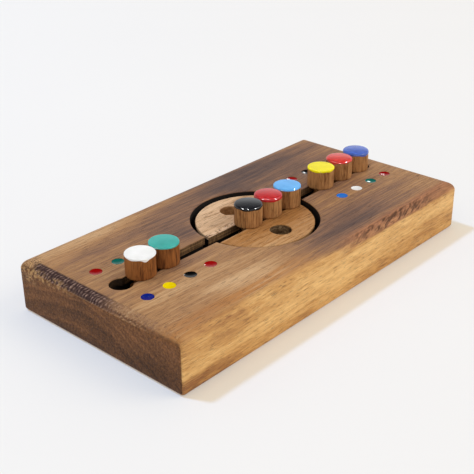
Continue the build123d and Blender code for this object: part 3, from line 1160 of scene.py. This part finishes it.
def turning_tree():
    """Geometry nodes that turn a half profile into a round piece with a slight waver."""
    found = bpy.data.node_groups.get("turned_piece")
    if found:
        return found
    n = Shape("turned_piece", Profile="Geometry", Steps="Int", Place="Vector", Waver="Float", Seed="Float")
    given = n.given

    # a grid with a row for each point of the profile and a column for each step of the turn
    rows = n.add("GeometryNodeAttributeDomainSize", {0: given["Profile"]}).outputs["Point Count"]
    feeds = {"Vertices X": n.math("ADD", given["Steps"], 1.0), "Vertices Y": rows}
    grid = n.add("GeometryNodeMeshGrid", feeds)
    index = n.add("GeometryNodeInputIndex").outputs[0]
    row = n.math("FLOORED_MODULO", index, rows)
    column = n.math("FLOOR", n.math("DIVIDE", n.math("ADD", index, 0.5), rows))
    turn = n.math("MULTIPLY", n.math("DIVIDE", column, given["Steps"]), 2.0 * math.pi)
    position = n.add("GeometryNodeInputPosition").outputs[0]
    feeds = {"Geometry": given["Profile"], "Value": position, "Index": row}
    sample = n.add("GeometryNodeSampleIndex", feeds, data_type="FLOAT_VECTOR")
    radius, _, height = n.split(sample.outputs[0])

    # the radius wavers round the turn and upwards, and less near the axis
    cosine = n.math("COSINE", turn)
    sine = n.math("SINE", turn)
    circle = n.combine(cosine, sine, n.math("MULTIPLY", height, 60.0))
    feeds = {"Vector": circle, "W": given["Seed"], "Scale": 1.6}
    flaw = n.add("ShaderNodeTexNoise", feeds, noise_dimensions="4D").outputs["Fac"]
    outer = n.math("MINIMUM", n.math("MULTIPLY", radius, 400.0), 1.0)
    swell = n.product(n.math("SUBTRACT", flaw, 0.62), given["Waver"], outer)
    real = n.math("ADD", radius, swell)
    spot = n.combine(n.math("MULTIPLY", real, cosine), n.math("MULTIPLY", real, sine), height)
    feeds = {"Geometry": grid.outputs["Mesh"], "Position": n.vector("ADD", spot, given["Place"])}
    shaped = n.add("GeometryNodeSetPosition", feeds).outputs[0]
    weld = n.add("GeometryNodeMergeByDistance", {"Geometry": shaped, "Distance": 1e-6})
    return n.finish(weld.outputs[0])


def use_tree(made, tree, **values):
    """Runs a node tree on an object with its inputs set, and keeps the plain mesh."""
    step = made.modifiers.new(tree.name, "NODES")
    step.node_group = tree
    for item in tree.interface.items_tree:
        key = item.name.replace(" ", "_")
        if item.in_out == "INPUT" and key in values:
            step[item.identifier] = values[key]
    return bake(made)


def turned(name, profile, place, steps, flaw, seed, finish):
    """A round piece from its half profile of radius and height, from the bottom up."""
    edges = [(i, i + 1) for i in range(len(profile) - 1)]
    made = bare(name, [(r, 0.0, z) for r, z in profile], edges)
    use_tree(
        made, turning_tree(), Steps=steps, Place=tuple(place), Waver=flaw, Seed=float(seed),
        Finish=material(finish),
    )
    return tidy(made, SHARP["turned"])


def arc(centre, radius, start, end, steps):
    """Points of a profile's rounded corner."""
    points = []
    for i in range(steps + 1):
        angle = math.radians(start + (end - start) * i / steps)
        points.append((centre[0] + radius * math.cos(angle), centre[1] + radius * math.sin(angle)))
    return points


def peg_profile(head, tall):
    """Half profile of a peg: its foot and neck in the track, and the dowel above them."""
    inner = PEG_FOOT - PEG_FOOT_EDGE
    profile = [(0.0, 0.0)]
    profile += arc((inner, PEG_FOOT_EDGE), PEG_FOOT_EDGE, -90, 0, 3)
    profile += arc((inner, PEG_FOOT_HEIGHT - PEG_FOOT_EDGE), PEG_FOOT_EDGE, 0, 90, 3)
    profile += [(PEG_NECK, PEG_FOOT_HEIGHT), (PEG_NECK, PEG_SEAT)]
    profile += arc((head - PEG_BASE_ROUND, PEG_SEAT + PEG_BASE_ROUND), PEG_BASE_ROUND, -90, 0, 5)
    profile += [(head, PEG_SEAT + row * MM) for row in PEG_ROWS]
    return profile + [(head, tall), (0.55 * head, tall), (0.0, tall)]


class MESH_OT_puzzle_pegs(bpy.types.Operator):
    """Make the eight wooden pegs"""

    bl_idname = "mesh.puzzle_pegs"
    bl_label = "Pegs"

    def execute(self, context):
        for seed, name in enumerate(CAPS):
            low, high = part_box(f"{name}_peg")
            centre = 0.5 * (low + high)
            profile = peg_profile(0.5 * (high.x - low.x), high.z - low.z)
            finish = "reddish_dowel" if name in ("white", "green") else "pale_dowel"
            place = (centre.x, centre.y, low.z)
            made = turned(
                f"peg_of_{name}", profile, place, ROUND_STEPS["peg"], PEG_WAVER, seed, finish
            )
            settle(made, f"{name}_peg", "peg_wood", f"{name}_peg")
        return {"FINISHED"}


def cap_rings(name, seed, fall, uneven, edge, crown):
    """Rings of a cap, from its uneven lower edge up to the middle of its crown."""
    low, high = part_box(f"{name}_cap")
    centre = 0.5 * (low + high)
    radius = 0.5 * (high.x - low.x) + CAP_PROUD
    height = high.z - low.z
    edge *= MM
    crown *= MM

    def skirt(angle):
        spot = (math.cos(angle) * 5.0, math.sin(angle) * 5.0, seed * 3.1)
        drop = fall + uneven * (waver(spot, 3.2, seed) + 0.6 * waver(spot, 1.1, seed + 30))
        for direction, far, width in RUNS.get(name, ()):
            off = (math.degrees(angle) - direction + 180.0) % 360.0 - 180.0
            drop += far * math.exp(-((off / width) ** 2))
        return -max(0.06, drop) * MM

    def ring(r, z):
        points = []
        steps = ROUND_STEPS["cap"]
        for i in range(steps):
            angle = 2.0 * math.pi * i / steps
            level = z(angle) if callable(z) else z
            points.append((centre.x + r * math.cos(angle), centre.y + r * math.sin(angle), low.z + level))
        return points

    last = math.pi / 2 - math.atan(2.0 * crown / (radius - edge))
    shoulder = height - crown - edge * math.sin(last)
    rings = [
        ring(radius - 0.25 * MM, skirt),
        ring(radius, lambda a: skirt(a) - 0.02 * MM),
        ring(radius + 0.05 * MM, lambda a: skirt(a) + 0.10 * MM),
    ]
    wall = max(shoulder, 0.12 * MM)
    for k in (0.4, 0.75):
        rings.append(ring(radius + 0.03 * MM, lambda a, k=k: (1 - k) * skirt(a) + k * wall))
    for inset, rise, _ in rounded(edge, ROUND_STEPS["cap_edge"], last):
        if shoulder + rise > 0.14 * MM:
            rings.append(ring(radius - inset, shoulder + rise))
    flat = radius - edge * (1 - math.cos(last))
    return rings + [ring(flat * k, height - crown * k * k) for k in CROWN_SHARES]


class MESH_OT_puzzle_caps(bpy.types.Operator):
    """Make the enamel caps with their uneven lower edges"""

    bl_idname = "mesh.puzzle_caps"
    bl_label = "Caps"

    def execute(self, context):
        for seed, (name, (tone, *form)) in enumerate(CAPS.items()):
            # the outer red cap takes the lighter copy of the red enamel: painted light
            finish = "bright_red_gloss" if name == "red_outer" else f"{tone}_gloss"
            cap = stacked(f"cap_of_{name}", cap_rings(name, seed, *form), (finish,))
            tidy(cap, SHARP["cap"])
            settle(cap, f"{name}_peg", f"{tone}_enamel", f"{name}_cap")
        return {"FINISHED"}


def dot_tree():
    """Geometry nodes that pour a dished dot of enamel into each dimple."""
    n = Shape(
        "enamel_dots", Places="Geometry", Radius="Float", Depth="Float", Rim_drop="Float", Dish="Float",
        Seed="Int",
    )
    given = n.given
    radius = given["Radius"]
    depth = given["Depth"]
    feeds = {"Vertices": 48, "Side Segments": 1, "Fill Segments": 9, "Radius": radius, "Depth": depth}
    plug = n.add("GeometryNodeMeshCylinder", feeds, fill_type="TRIANGLE_FAN")

    # the plug hangs below the face, and its upper side is dished
    x, y, z = n.split(n.add("GeometryNodeInputPosition").outputs[0])
    share = n.math("DIVIDE", n.squares(x, y), n.math("MULTIPLY", radius, radius))
    hollow = n.math("SUBTRACT", 1.0, n.math("POWER", share, 1.05))
    sink = n.math("ADD", given["Rim drop"], n.math("MULTIPLY", hollow, given["Dish"]))
    upper = n.math("GREATER_THAN", z, 0.0)
    level = n.math("SUBTRACT", n.math("MULTIPLY", depth, -0.5), n.math("MULTIPLY", sink, upper))
    feeds = {"Geometry": plug.outputs["Mesh"], "Offset": n.combine(0.0, 0.0, level)}
    shape = n.add("GeometryNodeSetPosition", feeds).outputs[0]

    # each dot is turned and tilted a little in its own way
    feeds = {
        0: (-DOT_TILT, -DOT_TILT, 0.0),
        1: (DOT_TILT, DOT_TILT, 6.28),
        "Seed": given["Seed"],
    }
    turn = n.add("FunctionNodeRandomValue", feeds, data_type="FLOAT_VECTOR").outputs[0]
    feeds = {"Points": given["Places"], "Instance": shape, "Rotation": turn}
    return n.finish(n.add("GeometryNodeInstanceOnPoints", feeds).outputs[0])


class MESH_OT_puzzle_dots(bpy.types.Operator):
    """Pour the enamel dots, one piece for each colour"""

    bl_idname = "mesh.puzzle_dots"
    bl_label = "Dots"

    def execute(self, context):
        s = context.scene.puzzle_sizes
        tree = dot_tree()
        for seed, tone in enumerate(ENAMELS):
            places, names = dot_places(tone)
            dots = bare(f"dots_{tone}", [(p.x, p.y, BOARD_HIGH.z) for p in places])
            use_tree(
                dots, tree, Radius=s.dot_radius - DOT_GAP, Depth=s.dimple_depth, Rim_drop=DOT_RIM_DROP,
                Dish=DOT_DISH, Seed=seed, Finish=material(f"{tone}_fill"),
            )
            tidy(dots, SHARP["dot"])
            settle(dots, "board", f"{tone}_enamel", *names)
        return {"FINISHED"}


def screw_profile(head, tall):
    """Half profile of the pivot screw: its rounded head, its thread and its tip."""
    profile = [(0.0, 0.0), (0.3 * head, 0.02 * MM)]
    profile += arc((head - SCREW_ROUND, SCREW_ROUND + 0.05 * MM), SCREW_ROUND, -80, 0, 7)
    profile += [(head, SCREW_HEAD), (SCREW_THREAD, SCREW_HEAD)]
    turns = int((tall - SCREW_HEAD - 3.0 * MM) / SCREW_PITCH)
    for i in range(turns):
        z = SCREW_HEAD + 1.6 * MM + i * SCREW_PITCH
        profile += [(SCREW_CORE, z), (SCREW_CORE, z + 0.7 * MM)]
        profile += [(SCREW_THREAD, z + 1.0 * MM), (SCREW_THREAD, z + 1.1 * MM)]
    return profile + [(SCREW_CORE, tall - 1.6 * MM), (0.0, tall)]


class MESH_OT_puzzle_pivot(bpy.types.Operator):
    """Make the pivot screw with its cross recess, and finish the washer"""

    bl_idname = "mesh.puzzle_pivot"
    bl_label = "Pivot"

    def execute(self, context):
        low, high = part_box("pivot_screw")
        profile = screw_profile(0.5 * (high.x - low.x), high.z - low.z)
        place = (0.0, 0.0, low.z)
        screw = turned("screw", profile, place, ROUND_STEPS["screw"], 0.0, 1, "bright_steel")
        arms = []
        for turn in (0.0, math.pi / 2):
            across = Matrix.Rotation(turn + CROSS_TURN, 3, "Z")
            rings = []
            for z, long, wide in CROSS_ARM:
                corners = ((-long, -wide), (long, -wide), (long, wide), (-long, wide))
                rings.append(
                    [tuple(across @ Vector((x * MM, y * MM, low.z + z * MM))) for x, y in corners]
                )
            arms.append(stacked(f"cross_cutter_{len(arms)}", rings, ("bright_steel",)))
        cut(screw, arms)
        tidy(screw, SHARP["screw"], False)
        settle(screw, "turntable", "steel", "pivot_screw")
        washer = bpy.data.objects["pivot_washer"]
        for slot in washer.material_slots:
            slot.material = material("bright_steel")
        return {"FINISHED"}


def set_camera(scene):
    """The camera, turned about the puzzle's middle, shifted to its aim point and rolled."""
    p = scene.puzzle_stage
    back = Vector((
        math.sin(p.azimuth) * math.cos(p.elevation),
        -math.cos(p.azimuth) * math.cos(p.elevation),
        math.sin(p.elevation),
    ))
    right = Vector((math.cos(p.azimuth), math.sin(p.azimuth), 0.0))
    up = back.cross(right)
    place = back * p.distance + right * p.aim_right + up * p.aim_up
    tilted = right * math.cos(p.roll) + up * math.sin(p.roll)
    upward = up * math.cos(p.roll) - right * math.sin(p.roll)
    data = bpy.data.cameras.new("camera")
    data.sensor_width = 36.0
    data.lens = p.lens
    data.clip_start = 0.01
    camera = linked("camera", data)
    camera.matrix_world = Matrix((
        (tilted.x, upward.x, back.x, place.x),
        (tilted.y, upward.y, back.y, place.y),
        (tilted.z, upward.z, back.z, place.z),
        (0.0, 0.0, 0.0, 1.0),
    ))
    scene.camera = camera


def lay_floor(scene):
    """A floor of warm paper, with a pale veil that the camera, gloss and glass see."""
    c = scene.puzzle_colours
    n = Finish("paper")
    mottle = n.noise(n.millimetres(), (0.004, 0.004, 0.004), 2.0)
    n.set(Base_Color=n.ramp(mottle, ((0.3, scaled(c.floor, 0.985)), (0.7, c.floor))))
    n.set(Roughness=0.85, Specular_IOR_Level=0.2)
    veil = n.add("ShaderNodeEmission", {"Color": opaque(c.haze)}).outputs[0]
    rays = n.add("ShaderNodeLightPath").outputs
    seen = n.chain("MAXIMUM", *(rays[f"Is {kind} Ray"] for kind in ("Camera", "Glossy", "Transmission")))
    share = n.math("MULTIPLY", seen, scene.puzzle_stage.pale_floor)
    blend = n.add("ShaderNodeMixShader", {0: share, 1: n.surface.outputs[0], 2: veil})
    n.feed(n.output.inputs["Surface"], blend.outputs[0])
    ring = round_ring((0, 0), FLOOR_RADIUS, 0.0, FLOOR_STEPS)
    floor = bare("floor", ring, faces=[tuple(range(FLOOR_STEPS))])
    floor.data.materials.append(n.material)


def hang_lamps(scene):
    """The lamps of LAMPS, and for some of them the pieces that they light alone."""
    lit = {}
    for kind, start in RECEIVERS.items():
        lit[kind] = bpy.data.collections.new(f"{kind}_receivers")
        for made in scene.objects:
            if made.name.startswith(start):
                lit[kind].objects.link(made)
    for name, (spot, size, power, tone) in LAMPS.items():
        light = bpy.data.lights.new(name, "AREA")
        light.shape = "SQUARE"
        light.size = size
        light.energy = power
        light.color = tone
        lamp = linked(name, light)
        lamp.location = spot
        lamp.rotation_euler = (-Vector(spot)).to_track_quat("-Z", "Y").to_euler()
        kind = name.split("_")[0]
        if kind in lit:
            lamp.visible_diffuse = kind == "daylight"
            lamp.light_linking.receiver_collection = lit[kind]


def fill_room(scene):
    """Even light from the room, seen as a pale backdrop; gloss shows its dimmer ceiling too."""
    world = bpy.data.worlds.new("room")
    world.use_nodes = True
    scene.world = world
    n = Nodes(world.node_tree)
    rays = n.add("ShaderNodeLightPath").outputs
    height = n.split(n.add("ShaderNodeTexCoord").outputs["Generated"])[2]
    ceiling = n.ease(height, 0.24, 0.68, BACKDROP, 0.10)
    light = scene.puzzle_stage.room_light
    mirrored = n.add("ShaderNodeMix", {0: rays["Is Glossy Ray"], 2: light, 3: ceiling}).outputs[0]
    direct = n.math("MAXIMUM", rays["Is Camera Ray"], rays["Is Transmission Ray"])
    seen = n.add("ShaderNodeMix", {0: direct, 2: mirrored, 3: BACKDROP}).outputs[0]
    sky = world.node_tree.nodes["Background"]
    n.feed(sky.inputs["Color"], (0.99, 0.995, 1.0, 1.0))
    n.feed(sky.inputs["Strength"], seen)


class SCENE_OT_puzzle_stage(bpy.types.Operator):
    """Set up the floor, the light and the camera"""

    bl_idname = "scene.puzzle_stage"
    bl_label = "Stage"

    def execute(self, context):
        scene = context.scene
        set_camera(scene)
        lay_floor(scene)
        hang_lamps(scene)
        fill_room(scene)
        scene.view_settings.view_transform = "Standard"
        return {"FINISHED"}


STEPS = (
    MESH_OT_puzzle_block,
    MESH_OT_puzzle_disc,
    MESH_OT_puzzle_pegs,
    MESH_OT_puzzle_caps,
    MESH_OT_puzzle_dots,
    MESH_OT_puzzle_pivot,
    SCENE_OT_puzzle_stage,
)


class VIEW3D_PT_puzzle(bpy.types.Panel):
    """The puzzle's pieces and settings"""

    bl_idname = "VIEW3D_PT_puzzle"
    bl_label = "Turntable peg puzzle"
    bl_space_type = "VIEW_3D"
    bl_region_type = "UI"
    bl_category = "Puzzle"

    def draw(self, context):
        for step in STEPS:
            self.layout.operator(step.bl_idname)
        for group in (context.scene.puzzle_sizes, context.scene.puzzle_colours, context.scene.puzzle_stage):
            box = self.layout.box()
            for key in group.bl_rna.properties.keys():
                if key not in ("rna_type", "name"):
                    box.prop(group, key)


GROUPS = {"puzzle_sizes": PuzzleSizes, "puzzle_colours": PuzzleColours, "puzzle_stage": PuzzleStage}


def register():
    for group in GROUPS.values():
        bpy.utils.register_class(group)
    for step in STEPS:
        bpy.utils.register_class(step)
    bpy.utils.register_class(VIEW3D_PT_puzzle)
    for key, group in GROUPS.items():
        setattr(bpy.types.Scene, key, PointerProperty(type=group))


def unregister():
    for key in GROUPS:
        delattr(bpy.types.Scene, key)
    bpy.utils.unregister_class(VIEW3D_PT_puzzle)
    for step in reversed(STEPS):
        bpy.utils.unregister_class(step)
    for group in reversed(list(GROUPS.values())):
        bpy.utils.unregister_class(group)


def main():
    register()
    bpy.ops.mesh.puzzle_block()
    bpy.ops.mesh.puzzle_disc()
    bpy.ops.mesh.puzzle_pegs()
    bpy.ops.mesh.puzzle_caps()
    bpy.ops.mesh.puzzle_dots()
    bpy.ops.mesh.puzzle_pivot()
    bpy.ops.scene.puzzle_stage()


if __name__ == "__main__":
    main()
